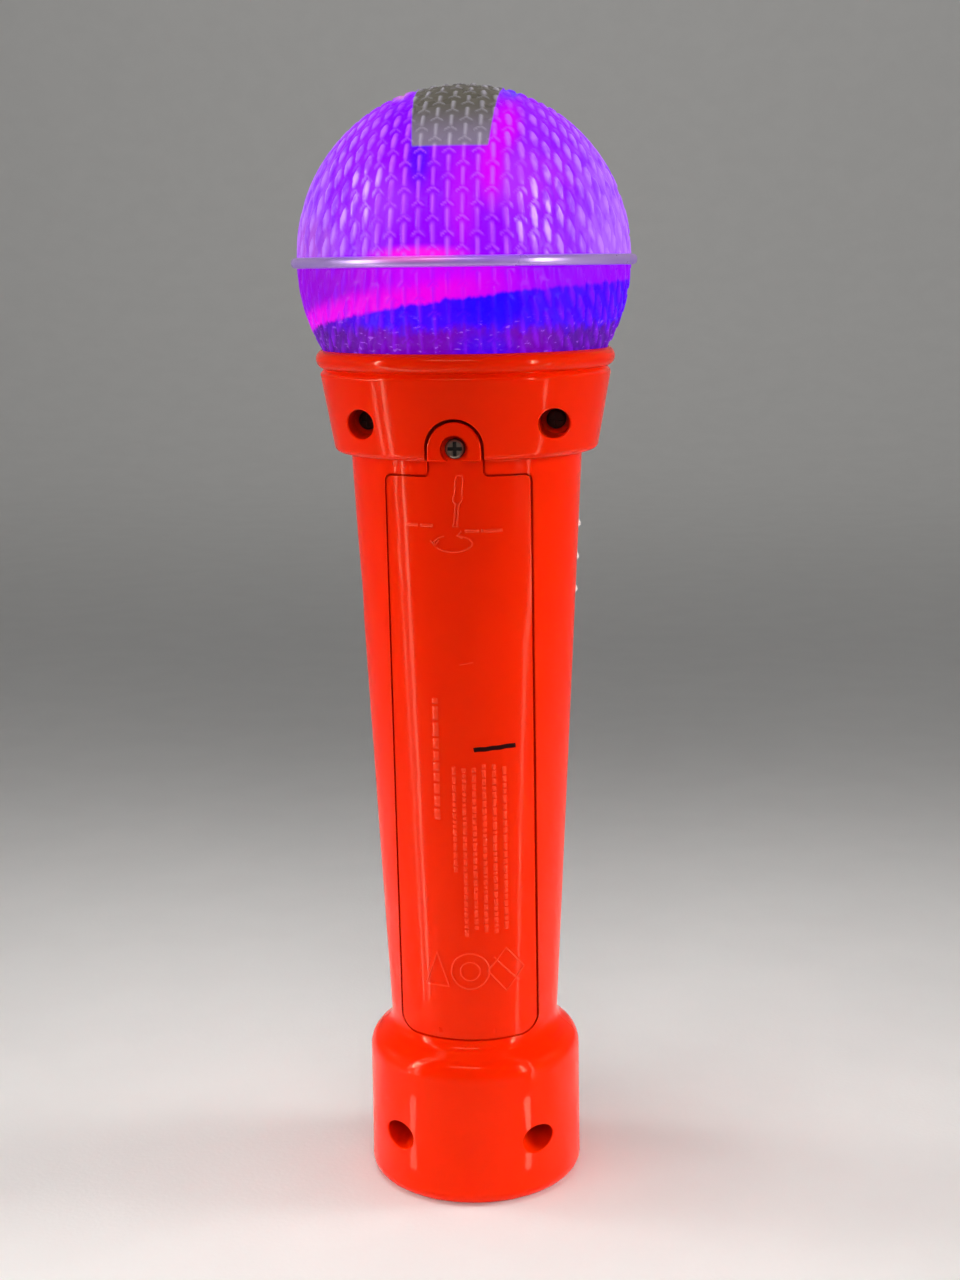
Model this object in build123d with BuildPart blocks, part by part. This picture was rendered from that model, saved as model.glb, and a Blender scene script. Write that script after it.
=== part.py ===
"""Toy microphone: two-shell handle, lit textured head, battery door, front controls and base speaker.

Millimetres. The origin is the centre of the flat base, +Z runs up the handle, the battery door is at
the back (-Y) and the controls are at the front (+Y).
"""
from build123d import *
import math
import os

# ---- Driving dimensions -------------------------------------------------------------------------
WALL = 2.2                      # wall of the two handle shells
DOOR_GAP = 0.45                 # gap all round the battery door
LEDGE = 0.9                     # width of the ledge that the door rests on
LEDGE_CLEARANCE = 0.2

FOOT_RADIUS = 24.9
SHOULDER_RADIUS = 24.7
SHOULDER_Z = 33.0
NECK_RADIUS = 19.5              # where the shoulder meets the tapered handle
NECK_Z = 37.4
TAPER = 0.0472                  # growth of the handle's radius for each millimetre of height

COLLAR_Z = 171.7                # underside of the collar
COLLAR_BOTTOM_RADIUS = 29.3
COLLAR_TOP_RADIUS = 32.3
COLLAR_TOP_Z = 188.9
GROOVE_RADIUS = 31.5
GROOVE_Z = 189.9
BEAD_RADIUS = 31.0              # centre circle of the round bead at the mouth
BEAD_SECTION = 2.2
BEAD_Z = 192.1
MOUTH_RADIUS = 27.1
MOUTH_Z = 185.7                 # underside of the mouth's inner rib

HEAD_RADIUS = 36.7
HEAD_WALL = 2.2
BOWL_CENTRE_Z = 212.6
DOME_CENTRE_Z = 213.9
RING_Z = 212.9
RING_HEIGHT = 2.4
RING_RADIUS = 38.0
RIM_RADIUS = 35.8               # both head halves narrow to this inside the ring
BOWL_FLANGE_Z = 184.0

DOOR_WIDTH = 31.0
DOOR_BOTTOM_Z = 38.8
DOOR_TOP_Z = 168.0
DOOR_WALL = 1.3
DOOR_CORNER = 1.3               # radius of the corners beside the neck
DOOR_FOOT_CORNER = 3.5
TAB_WIDTH = 11.4
TAB_FACE_Y = 29.5               # distance of the tab's face behind the axis
TAB_BACK_Y = 22.6
DOOR_SCREW_Z = 174.2
POCKET_WIDTH = 12.6
POCKET_RISE = 0.2               # the pocket's arch stands this much above the tab's
HINGE_Y = 19.8                  # the door tilts about its bottom edge
HINGE_Z = 38.8
TONGUE_RADIUS = 5.0             # inner radius of the door's tongues, about the tilt axis

SCREW_HEAD_RADIUS = 2.15
SCREW_SHANK_RADIUS = 1.2
RECESS_RADIUS = 3.2             # screwdriver holes over the case screws
DOOR_RECESS_RADIUS = 2.95
UPPER_SCREW_SPOTS = [(-20.6, 179.0), (20.6, 179.0)]
LOWER_SCREW_SPOTS = [(-15.8, 14.6), (15.8, 14.6)]
CASE_SCREW_SPOTS = UPPER_SCREW_SPOTS + LOWER_SCREW_SPOTS
CASE_BOSS_RADIUS = 4.4
UPPER_SEAT_Y = 9.0              # how far behind the parting plane the screws are seated
LOWER_SEAT_Y = 4.0
THREAD_DEPTH = 8.0              # reach of the case screws into the front shell

CELL_RADIUS = 7.2               # size AA
CELL_LENGTH = 49.5
CELL_Y = -9.0
BAY_LENGTH = 55.0
HOLDER_Z = 44.5
HOLDER_WALL = 1.4
LOWER_BAY_Z = HOLDER_Z + HOLDER_WALL
UPPER_BAY_Z = LOWER_BAY_Z + BAY_LENGTH + HOLDER_WALL
CELL_LIFT = 4.1                 # the contact plate's and spring's height under each cell
CELL_SPOTS = [("battery_left", -7.4, UPPER_BAY_Z), ("battery_right", 7.4, UPPER_BAY_Z),
              ("battery_lower", 0.0, LOWER_BAY_Z)]

BOARD_Y = 5.0
BOARD_THICKNESS = 1.6
BOARD_WIDTH = 26.0
BOARD_BOTTOM_Z = 57.0
BOARD_TOP_Z = 167.0
BOARD_POSTS = [(-10.0, 61.0), (10.0, 61.0), (-10.0, 163.0), (10.0, 163.0)]

PANEL_Z = 129.0
PANEL_WIDTH = 24.0
PANEL_HEIGHT = 70.0
PANEL_LIP = 2.0                 # how far the panel's face overlaps the shell
PANEL_PROUD = 0.9
BUTTONS = [("play_button", 149.5, 6.0), ("song_button", 133.5, 4.5), ("sound_button", 120.5, 4.5)]
BUTTON_GAP = 0.25
BUTTON_TRAVEL = 1.2
SLIDER_Z = 107.0
SLIDER_TRAVEL = 4.0

SPEAKER_RADIUS = 19.0
SPEAKER_Z = 2.6

HEAD_BOARD_Z = 185.6
HEAD_BOARD_RADIUS = 24.3
LED_SPOTS = {"red_leds": [(-11.0, -5.0), (-11.0, 7.0)], "blue_leds": [(11.0, -5.0), (11.0, 7.0)]}

STUD_HEIGHTS = [139.5, 147.0, 154.5]
STUD_ANGLE = 6.0                # degrees in front of the parting line
LEAD_RADIUS = 0.6

os.makedirs("parts", exist_ok=True)


def handle_radius(z):
    """Outer radius of the tapered handle at height z."""
    return NECK_RADIUS + TAPER * (z - NECK_Z)


def save(node, label):
    """Label a finished piece and write its file."""
    node.part.label = label
    export_step(node.part, f"parts/{label}.step")


def handle_band(low_z, high_z, inner, outer):
    """A tapered tube that follows the handle, from inner to outer, both counted from its surface."""
    with BuildPart() as band:
        with BuildSketch(Plane.XZ):
            with BuildLine():
                Polyline(
                    (handle_radius(low_z) + inner, low_z), (handle_radius(low_z) + outer, low_z),
                    (handle_radius(high_z) + outer, high_z), (handle_radius(high_z) + inner, high_z),
                    close=True)
            make_face()
        revolve(axis=Axis.Z)
    return band.part


def door_outline(gap):
    """The battery door seen from behind: a tall panel with a neck that runs up to the collar."""
    with BuildSketch(Plane.XZ) as outline:
        with Locations((0, (DOOR_BOTTOM_Z + DOOR_TOP_Z) / 2)):
            Rectangle(DOOR_WIDTH, DOOR_TOP_Z - DOOR_BOTTOM_Z)
        with Locations((0, COLLAR_Z)):
            Rectangle(TAB_WIDTH, COLLAR_Z - DOOR_TOP_Z + 1, align=(Align.CENTER, Align.MAX))
        fillet(outline.vertices().group_by(Axis.Y)[0], radius=DOOR_FOOT_CORNER)
        fillet(outline.vertices().group_by(Axis.Y)[-2], radius=DOOR_CORNER)
        if gap:
            offset(amount=gap)
    return outline.sketch


def arch(width, bottom_z, rise=0):
    """An upright arch round the door screw: straight sides and a half-round top."""
    centre_z = DOOR_SCREW_Z + rise
    with BuildSketch(Plane.XZ) as outline:
        with Locations((0, centre_z)):
            Circle(width / 2)
            Rectangle(width, width, align=(Align.CENTER, Align.MAX), mode=Mode.SUBTRACT)
        with Locations((0, bottom_z)):
            Rectangle(width, centre_z - bottom_z, align=(Align.CENTER, Align.MIN))
    return outline.sketch


def stadium(width, height):
    """The control panel's outline, with fully round ends."""
    with BuildSketch(Plane.XZ) as outline:
        with Locations((0, PANEL_Z)):
            SlotOverall(height, width, rotation=90)
    return outline.sketch


# ---- Hollow inside of the handle, with its screw bosses left standing ---------------------------
with BuildPart() as cavity:
    with BuildSketch(Plane.XZ):
        with BuildLine():
            Polyline(
                (0, 2.4), (FOOT_RADIUS - 2.4, 2.4), (SHOULDER_RADIUS - 2.4, SHOULDER_Z - 0.8),
                (NECK_RADIUS - WALL, NECK_Z - 0.8), (handle_radius(COLLAR_Z + 2.5) - WALL, COLLAR_Z + 2.5),
                (COLLAR_BOTTOM_RADIUS - 2.0, COLLAR_Z + 2.5), (COLLAR_TOP_RADIUS - 3.0, MOUTH_Z),
                (MOUTH_RADIUS, MOUTH_Z), (MOUTH_RADIUS, BEAD_Z + 5), (0, BEAD_Z + 5), close=True)
        make_face()
    revolve(axis=Axis.Z)
    with Locations((0, 0, BOWL_CENTRE_Z)):
        Sphere(HEAD_RADIUS + 0.15)
    with BuildSketch(Plane.XZ):
        with Locations(*CASE_SCREW_SPOTS):
            Circle(CASE_BOSS_RADIUS)
    extrude(amount=40, both=True, mode=Mode.SUBTRACT)
    with BuildSketch(Plane.XZ.offset(-BOARD_Y - BOARD_THICKNESS)):
        with Locations(*BOARD_POSTS):
            Circle(2.6)
    extrude(amount=-40, mode=Mode.SUBTRACT)
    with BuildSketch(Plane.XZ.offset(12)):
        with Locations((0, DOOR_SCREW_Z)):
            Circle(3.6)
    extrude(amount=20, mode=Mode.SUBTRACT)
    extrude(arch(POCKET_WIDTH + 3.2, COLLAR_Z, POCKET_RISE).moved(Location((0, -20, 0))), amount=30,
            mode=Mode.SUBTRACT)

# ---- Whole outside of the handle, hollowed ------------------------------------------------------
with BuildPart() as body:
    with BuildSketch(Plane.XZ):
        with BuildLine():
            outside = FilletPolyline(
                (0, 0), (FOOT_RADIUS, 0), (SHOULDER_RADIUS, SHOULDER_Z), (NECK_RADIUS, NECK_Z),
                (handle_radius(COLLAR_Z), COLLAR_Z), (COLLAR_BOTTOM_RADIUS, COLLAR_Z),
                (COLLAR_TOP_RADIUS, COLLAR_TOP_Z), (GROOVE_RADIUS, GROOVE_Z), (GROOVE_RADIUS, BEAD_Z),
                (0, BEAD_Z), radius=[3.0, 6.0, 4.0, 0.5, 1.5, 0.9, 0, 0])
            Line(outside @ 1, outside @ 0)
        make_face()
        with Locations((BEAD_RADIUS, BEAD_Z)):
            Circle(BEAD_SECTION)
    revolve(axis=Axis.Z)
    add(cavity.part, mode=Mode.SUBTRACT)
    # A fine groove runs along the parting line between the two shells.
    with BuildSketch(Plane.XZ):
        with BuildLine():
            groove = FilletPolyline(
                (FOOT_RADIUS + 1, -1), (FOOT_RADIUS + 1, SHOULDER_Z + 1), (NECK_RADIUS + 1, NECK_Z + 1),
                (handle_radius(COLLAR_Z) + 1, COLLAR_Z - 1), (handle_radius(COLLAR_Z) - 0.35, COLLAR_Z - 1),
                (NECK_RADIUS - 0.35, NECK_Z), (SHOULDER_RADIUS - 0.35, SHOULDER_Z - 0.4),
                (FOOT_RADIUS - 0.35, 3.0), (FOOT_RADIUS - 0.35, -1),
                radius=[6.0, 4.0, 0, 0, 4.0, 6.0, 0])
            Line(groove @ 1, groove @ 0)
        make_face()
        with BuildLine():
            Polyline(
                (COLLAR_BOTTOM_RADIUS - 0.35, COLLAR_Z), (COLLAR_TOP_RADIUS + 1, COLLAR_Z),
                (COLLAR_TOP_RADIUS + 1, COLLAR_TOP_Z), (COLLAR_TOP_RADIUS - 0.35, COLLAR_TOP_Z), close=True)
        make_face()
        mirror(about=Plane.YZ)
    extrude(amount=0.14, both=True, mode=Mode.SUBTRACT)

# ---- Front shell: control opening, sound holes --------------------------------------------------
SOUND_HOLES = [(x * 5.0, y * 5.0 + 2.5) for x in range(-3, 4) for y in range(0, 3)
               if math.hypot(x * 5.0, y * 5.0 + 2.5) < 16.5]

with BuildPart() as front_shell:
    add(body.part)
    split(bisect_by=Plane.XZ, keep=Keep.BOTTOM)
    extrude(stadium(PANEL_WIDTH - 2 * PANEL_LIP, PANEL_HEIGHT - 2 * PANEL_LIP), amount=-40,
            mode=Mode.SUBTRACT)
    with BuildSketch(Plane.XY):
        with Locations(*SOUND_HOLES):
            Circle(1.2)
    extrude(amount=WALL + 0.2, mode=Mode.SUBTRACT)
    with BuildSketch(Plane.XZ):
        with Locations(*CASE_SCREW_SPOTS):
            Circle(SCREW_SHANK_RADIUS + 0.1)
    extrude(amount=-THREAD_DEPTH - 2, mode=Mode.SUBTRACT)
    with BuildSketch(Plane.XZ.offset(-BOARD_Y - BOARD_THICKNESS)):
        with Locations(*BOARD_POSTS):
            Circle(0.95)
    extrude(amount=-7, mode=Mode.SUBTRACT)
save(front_shell, "front_shell")

# ---- Rear shell: door opening with its ledge, tab pocket, screw recesses ------------------------
with BuildPart() as door_recess:
    add(handle_band(DOOR_BOTTOM_Z - 3, COLLAR_Z + 1, -DOOR_WALL - LEDGE_CLEARANCE, 15))
    extrude(door_outline(DOOR_GAP), amount=60, mode=Mode.INTERSECT)

with BuildPart() as rear_shell:
    add(body.part)
    split(bisect_by=Plane.XZ, keep=Keep.TOP)
    add(door_recess.part, mode=Mode.SUBTRACT)
    extrude(door_outline(-LEDGE), amount=40, mode=Mode.SUBTRACT)
    extrude(arch(POCKET_WIDTH, COLLAR_Z - 0.3, POCKET_RISE).moved(Location((0, 0.4 - TAB_BACK_Y, 0))),
            amount=30, mode=Mode.SUBTRACT)
    with BuildSketch(Plane.XZ.offset(12)):
        with Locations((0, DOOR_SCREW_Z)):
            Circle(SCREW_SHANK_RADIUS + 0.3)
    extrude(amount=20, mode=Mode.SUBTRACT)
    for seat_y, spots in ((UPPER_SEAT_Y, UPPER_SCREW_SPOTS), (LOWER_SEAT_Y, LOWER_SCREW_SPOTS)):
        with BuildSketch(Plane.XZ.offset(seat_y)):
            with Locations(*spots):
                Circle(RECESS_RADIUS)
        extrude(amount=40, mode=Mode.SUBTRACT)
        fillet(rear_shell.edges(Select.LAST).sort_by(Axis.Y)[:2], radius=0.3)
    with BuildSketch(Plane.XZ):
        with Locations(*CASE_SCREW_SPOTS):
            Circle(SCREW_SHANK_RADIUS + 0.3)
    extrude(amount=30, mode=Mode.SUBTRACT)
    with BuildSketch(Plane.XY):
        with Locations(*[(x, -y) for x, y in SOUND_HOLES]):
            Circle(1.2)
    extrude(amount=WALL + 0.2, mode=Mode.SUBTRACT)
save(rear_shell, "rear_shell")

# ---- Two curved tongues that reach behind the shell under the door's bottom edge ----------------
TONGUE_THICKNESS = 1.3

with BuildPart() as tongues:
    with BuildSketch(Plane.YZ):
        with BuildLine():
            Polyline((-HINGE_Y, HINGE_Z), (8 - HINGE_Y, HINGE_Z - 6.2), (8 - HINGE_Y, HINGE_Z + 1.9),
                     (-HINGE_Y, HINGE_Z + 1.9), close=True)
        make_face()
        with Locations((-HINGE_Y, HINGE_Z)):
            Circle(TONGUE_RADIUS + TONGUE_THICKNESS, mode=Mode.INTERSECT)
            Circle(TONGUE_RADIUS, mode=Mode.SUBTRACT)
        with Locations((1.0 - HINGE_Y, HINGE_Z + 1.2)):
            Rectangle(TONGUE_RADIUS - 0.9, 1.1, align=(Align.MIN, Align.MIN))
    extrude(amount=6.5, both=True)
    with Locations((0, -HINGE_Y, HINGE_Z)):
        Box(5, 20, 20, mode=Mode.SUBTRACT)

# ---- Battery door: curved panel, screw tab and two bottom tongues -------------------------------
with BuildPart() as battery_door:
    add(handle_band(DOOR_BOTTOM_Z - 2, COLLAR_Z + 1.5, -DOOR_WALL, 0))
    extrude(door_outline(0), amount=40, mode=Mode.INTERSECT)
    skin = battery_door.faces().filter_by(GeomType.CONE).sort_by(SortBy.AREA)[-1]
    fillet(skin.edges().sort_by(Axis.Z)[:-1], radius=0.35)
    extrude(arch(TAB_WIDTH, COLLAR_Z).moved(Location((0, -TAB_BACK_Y, 0))),
            amount=TAB_FACE_Y - TAB_BACK_Y)
    fillet(battery_door.faces().sort_by(Axis.Y)[0].edges(), radius=0.4)
    with BuildSketch(Plane.XZ.offset(TAB_BACK_Y + 3.4)):
        with Locations((0, DOOR_SCREW_Z)):
            Circle(DOOR_RECESS_RADIUS)
    extrude(amount=10, mode=Mode.SUBTRACT)
    with BuildSketch(Plane.XZ.offset(TAB_BACK_Y - 1)):
        with Locations((0, DOOR_SCREW_Z)):
            Circle(SCREW_SHANK_RADIUS + 0.1)
    extrude(amount=10, mode=Mode.SUBTRACT)
    add(tongues.part)
save(battery_door, "battery_door")


def screw(length, head_radius, shank_radius):
    """A cross-head screw that stands on its seat at Z0 with its shank pointing down."""
    with BuildPart() as one:
        Cylinder(head_radius, 1.8, align=(Align.CENTER, Align.CENTER, Align.MIN))
        fillet(one.edges().group_by(Axis.Z)[-1], radius=0.7)
        with Locations((0, 0, 1.8)):
            Box(head_radius * 1.45, head_radius * 0.38, 2.0, mode=Mode.SUBTRACT)
            Box(head_radius * 0.38, head_radius * 1.45, 2.0, mode=Mode.SUBTRACT)
        Cylinder(shank_radius, length, align=(Align.CENTER, Align.CENTER, Align.MAX))
        chamfer(one.edges().group_by(Axis.Z)[0], length=0.5)
    return one.part


# ---- Screws -------------------------------------------------------------------------------------
with BuildPart() as door_screw:
    with Locations(Plane.XZ.offset(TAB_BACK_Y + 3.4) * Location((0, DOOR_SCREW_Z, 0))):
        add(screw(12.5, SCREW_HEAD_RADIUS, SCREW_SHANK_RADIUS))
save(door_screw, "door_screw")

with BuildPart() as case_screws:
    for seat_y, spots in ((UPPER_SEAT_Y, UPPER_SCREW_SPOTS), (LOWER_SEAT_Y, LOWER_SCREW_SPOTS)):
        for x, z in spots:
            with Locations(Plane.XZ.offset(seat_y) * Location((x, z, 0))):
                add(screw(seat_y + THREAD_DEPTH, SCREW_HEAD_RADIUS, SCREW_SHANK_RADIUS))
save(case_screws, "case_screws")

with BuildPart() as board_screws:
    for x, z in BOARD_POSTS:
        with Locations(Plane.XZ.offset(-BOARD_Y) * Location((x, z, 0))):
            add(screw(7.5, 2.0, 0.85))
save(board_screws, "board_screws")

# ---- Head: textured dome and bowl, joined under the ring ----------------------------------------
RING_TOP_Z = RING_Z + RING_HEIGHT / 2
RING_BOTTOM_Z = RING_Z - RING_HEIGHT / 2
HEAD_INSIDE = HEAD_RADIUS - HEAD_WALL
BOWL_LOW_Z = 188.0

with BuildPart() as upper_dome:
    with BuildSketch(Plane.XZ):
        with Locations((0, DOME_CENTRE_Z)):
            Circle(HEAD_RADIUS)
            Circle(HEAD_INSIDE, mode=Mode.SUBTRACT)
        with Locations((0, RING_TOP_Z)):
            Rectangle(50, 50, align=(Align.MIN, Align.MIN), mode=Mode.INTERSECT)
        with Locations((HEAD_INSIDE, RING_Z + 0.05)):
            Rectangle(RIM_RADIUS - HEAD_INSIDE, RING_HEIGHT / 2 + 0.2, align=(Align.MIN, Align.MIN))
    revolve(axis=Axis.Z)
save(upper_dome, "upper_dome")

with BuildPart() as lower_bowl:
    with BuildSketch(Plane.XZ):
        with Locations((0, BOWL_CENTRE_Z)):
            Circle(HEAD_RADIUS)
            Circle(HEAD_INSIDE, mode=Mode.SUBTRACT)
        with Locations((0, BOWL_LOW_Z)):
            Rectangle(50, RING_BOTTOM_Z - BOWL_LOW_Z, align=(Align.MIN, Align.MIN), mode=Mode.INTERSECT)
        with Locations((HEAD_INSIDE, RING_Z - 0.05)):
            Rectangle(RIM_RADIUS - HEAD_INSIDE, RING_HEIGHT / 2 + 0.2, align=(Align.MIN, Align.MAX))
        with Locations((MOUTH_RADIUS - 0.3, BOWL_FLANGE_Z)):
            Rectangle(2.2, BOWL_LOW_Z - BOWL_FLANGE_Z + 0.6, align=(Align.MAX, Align.MIN))
        with Locations((MOUTH_RADIUS + 1.3, BOWL_FLANGE_Z)):
            Rectangle(6.0, MOUTH_Z - BOWL_FLANGE_Z - 0.2, align=(Align.MAX, Align.MIN))
    revolve(axis=Axis.Z)
save(lower_bowl, "lower_bowl")

with BuildPart() as equator_ring:
    with BuildSketch(Plane.XZ) as ring_section:
        with Locations((RIM_RADIUS + 0.1, RING_Z)):
            Rectangle(RING_RADIUS - RIM_RADIUS - 0.1, RING_HEIGHT - 0.1, align=(Align.MIN, Align.CENTER))
        fillet(ring_section.vertices().sort_by(Axis.X)[-2:], radius=1.0)
    revolve(axis=Axis.Z)
save(equator_ring, "equator_ring")

# ---- Lights: round board, mast, top shield and LEDs ---------------------------------------------
BOARD_TOP = HEAD_BOARD_Z + BOARD_THICKNESS
SHIELD_OUTSIDE = HEAD_INSIDE - 0.3
SHIELD_INSIDE = SHIELD_OUTSIDE - 1.0
SHIELD_HALF_WIDTH = 8.3

with BuildPart() as led_board:
    with BuildSketch(Plane.XY.offset(HEAD_BOARD_Z)):
        Circle(HEAD_BOARD_RADIUS)
        with Locations((0, 20), (0, -20)):
            Circle(1.6, mode=Mode.SUBTRACT)
    extrude(amount=BOARD_THICKNESS)
save(led_board, "led_board")

with BuildPart() as light_shield:
    with Locations((0, 0, DOME_CENTRE_Z)):
        Sphere(SHIELD_OUTSIDE)
        Sphere(SHIELD_INSIDE, mode=Mode.SUBTRACT)
    with Locations((0, 4, 235.0)):
        Box(2 * SHIELD_HALF_WIDTH, 36, 40, align=(Align.CENTER, Align.MAX, Align.MIN), mode=Mode.INTERSECT)
save(light_shield, "light_shield")

with BuildPart() as led_mast:
    with BuildSketch(Plane.XY.offset(BOARD_TOP)):
        Circle(6.0)
    extrude(amount=3)
    with BuildSketch(Plane.XY.offset(BOARD_TOP + 3)):
        Circle(2.6)
    extrude(amount=DOME_CENTRE_Z + SHIELD_INSIDE - 0.4 - BOARD_TOP - 3)
    fillet(led_mast.edges().filter_by(GeomType.CIRCLE).group_by(Axis.Z)[1], radius=0.8)
save(led_mast, "led_mast")

for label, spots in LED_SPOTS.items():
    with BuildPart() as leds:
        with Locations(*[(x, y, BOARD_TOP) for x, y in spots]):
            Cylinder(2.9, 1.0, align=(Align.CENTER, Align.CENTER, Align.MIN))
            Cylinder(2.5, 6.0, align=(Align.CENTER, Align.CENTER, Align.MIN))
        with Locations(*[(x, y, BOARD_TOP + 6.0) for x, y in spots]):
            Sphere(2.5)
    save(leds, label)

# ---- Battery holder, cells and contacts ---------------------------------------------------------
HOLDER_TOP_Z = UPPER_BAY_Z + BAY_LENGTH + HOLDER_WALL
CONTACT_THICKNESS = 0.4

with BuildPart() as battery_holder:
    with Locations((0, 0, HOLDER_Z)):
        Box(31.8, 14, HOLDER_TOP_Z - HOLDER_Z, align=(Align.CENTER, Align.MAX, Align.MIN))
        Cone(handle_radius(HOLDER_Z) - WALL - 0.15, handle_radius(HOLDER_TOP_Z) - WALL - 0.15,
             HOLDER_TOP_Z - HOLDER_Z, align=(Align.CENTER, Align.CENTER, Align.MIN), mode=Mode.INTERSECT)
    with Locations((0, -HOLDER_WALL, UPPER_BAY_Z)):
        Box(29.6, 20, BAY_LENGTH, align=(Align.CENTER, Align.MAX, Align.MIN), mode=Mode.SUBTRACT)
    with Locations((0, -HOLDER_WALL, LOWER_BAY_Z)):
        Box(15.0, 20, BAY_LENGTH, align=(Align.CENTER, Align.MAX, Align.MIN), mode=Mode.SUBTRACT)
    with Locations((-11.8, -HOLDER_WALL, LOWER_BAY_Z), (11.8, -HOLDER_WALL, LOWER_BAY_Z)):
        Box(5.8, 20, BAY_LENGTH, align=(Align.CENTER, Align.MAX, Align.MIN), mode=Mode.SUBTRACT)
save(battery_holder, "battery_holder")

for label, x, bay_z in CELL_SPOTS:
    with BuildPart() as cell:
        with Locations((x, CELL_Y, bay_z + CELL_LIFT)):
            Cylinder(CELL_RADIUS, CELL_LENGTH, align=(Align.CENTER, Align.CENTER, Align.MIN))
        fillet(cell.edges(), radius=0.6)
        with Locations((x, CELL_Y, bay_z + CELL_LIFT + CELL_LENGTH)):
            Cylinder(2.7, 1.0, align=(Align.CENTER, Align.CENTER, Align.MIN))
    save(cell, label)

with BuildPart() as contact_springs:
    for label, x, bay_z in CELL_SPOTS:
        for turn in range(3):
            with Locations((x, CELL_Y, bay_z + CONTACT_THICKNESS + 0.7 + 1.15 * turn)):
                Torus(4.2 - 0.5 * turn, 0.7)
save(contact_springs, "contact_springs")

with BuildPart() as contact_plates:
    with Locations(*[(x, CELL_Y, bay_z) for label, x, bay_z in CELL_SPOTS]):
        Box(11, 9, CONTACT_THICKNESS, align=(Align.CENTER, Align.CENTER, Align.MIN))
    with Locations(*[(x, CELL_Y, bay_z + BAY_LENGTH) for label, x, bay_z in CELL_SPOTS]):
        Box(11, 9, CONTACT_THICKNESS, align=(Align.CENTER, Align.CENTER, Align.MAX))
save(contact_plates, "contact_plates")

# ---- Main circuit board and what is soldered to it ----------------------------------------------
BOARD_FRONT_Y = BOARD_Y + BOARD_THICKNESS
SWITCH_TOP_Y = BOARD_FRONT_Y + 4.6
SLIDE_SWITCH_Z = SLIDER_Z - SLIDER_TRAVEL / 2

with BuildPart() as main_board:
    with BuildSketch(Plane.XZ.offset(-BOARD_Y)) as board_outline:
        with Locations((0, (BOARD_BOTTOM_Z + BOARD_TOP_Z) / 2)):
            Rectangle(BOARD_WIDTH, BOARD_TOP_Z - BOARD_BOTTOM_Z)
        fillet(board_outline.vertices(), radius=2)
        with Locations(*BOARD_POSTS):
            Circle(1.1, mode=Mode.SUBTRACT)
    extrude(amount=-BOARD_THICKNESS)
save(main_board, "main_board")

with BuildPart() as sound_chip:
    with BuildSketch(Plane.XZ.offset(-BOARD_Y)):
        with Locations((0, 92)):
            Circle(6)
    extrude(amount=1.6)
    fillet(sound_chip.faces().sort_by(Axis.Y)[0].edges(), radius=1.4)
save(sound_chip, "sound_chip")

with BuildPart() as capacitor:
    with BuildSketch(Plane.XZ.offset(-BOARD_FRONT_Y)):
        with Locations((-6, 80)):
            Circle(3.2)
    extrude(amount=-8)
    fillet(capacitor.faces().sort_by(Axis.Y)[-1].edges(), radius=0.6)
save(capacitor, "capacitor")

with BuildPart() as button_switches:
    with BuildSketch(Plane.XZ.offset(-BOARD_FRONT_Y)):
        with Locations(*[(0, z) for label, z, radius in BUTTONS]):
            Rectangle(6, 6)
    extrude(amount=-3.5)
    with BuildSketch(Plane.XZ.offset(-BOARD_FRONT_Y - 3.5)):
        with Locations(*[(0, z) for label, z, radius in BUTTONS]):
            Circle(1.7)
    extrude(amount=-1.1)
save(button_switches, "button_switches")

with BuildPart() as slide_switch:
    with BuildSketch(Plane.XZ.offset(-BOARD_FRONT_Y)):
        with Locations((0, SLIDE_SWITCH_Z)):
            Rectangle(6, 12)
    extrude(amount=-4)
    with BuildSketch(Plane.XZ.offset(-BOARD_FRONT_Y - 2)):
        with Locations((0, SLIDE_SWITCH_Z)):
            Rectangle(2.6, 7.6)
    extrude(amount=-4, mode=Mode.SUBTRACT)
save(slide_switch, "slide_switch")

# ---- Front controls -----------------------------------------------------------------------------
PANEL_LOW_Z = PANEL_Z - PANEL_HEIGHT / 2 - 1
PANEL_HIGH_Z = PANEL_Z + PANEL_HEIGHT / 2 + 1
SLOT_WIDTH = 4.4
NECK_HEIGHT = 3.4

with BuildPart() as panel_plug:
    add(handle_band(PANEL_LOW_Z, PANEL_HIGH_Z, -WALL, 0.1))
    extrude(stadium(PANEL_WIDTH - 2 * PANEL_LIP - 0.2, PANEL_HEIGHT - 2 * PANEL_LIP - 0.2), amount=-40,
            mode=Mode.INTERSECT)

with BuildPart() as control_panel:
    add(handle_band(PANEL_LOW_Z, PANEL_HIGH_Z, 0.02, PANEL_PROUD))
    extrude(stadium(PANEL_WIDTH, PANEL_HEIGHT), amount=-40, mode=Mode.INTERSECT)
    add(panel_plug.part)
    with BuildSketch(Plane.XZ):
        for label, z, radius in BUTTONS:
            with Locations((0, z)):
                Circle(radius + BUTTON_GAP)
        with Locations((0, SLIDE_SWITCH_Z)):
            Rectangle(SLOT_WIDTH, SLIDER_TRAVEL + NECK_HEIGHT + 0.6)
    extrude(amount=-40, mode=Mode.SUBTRACT)
save(control_panel, "control_panel")

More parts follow.
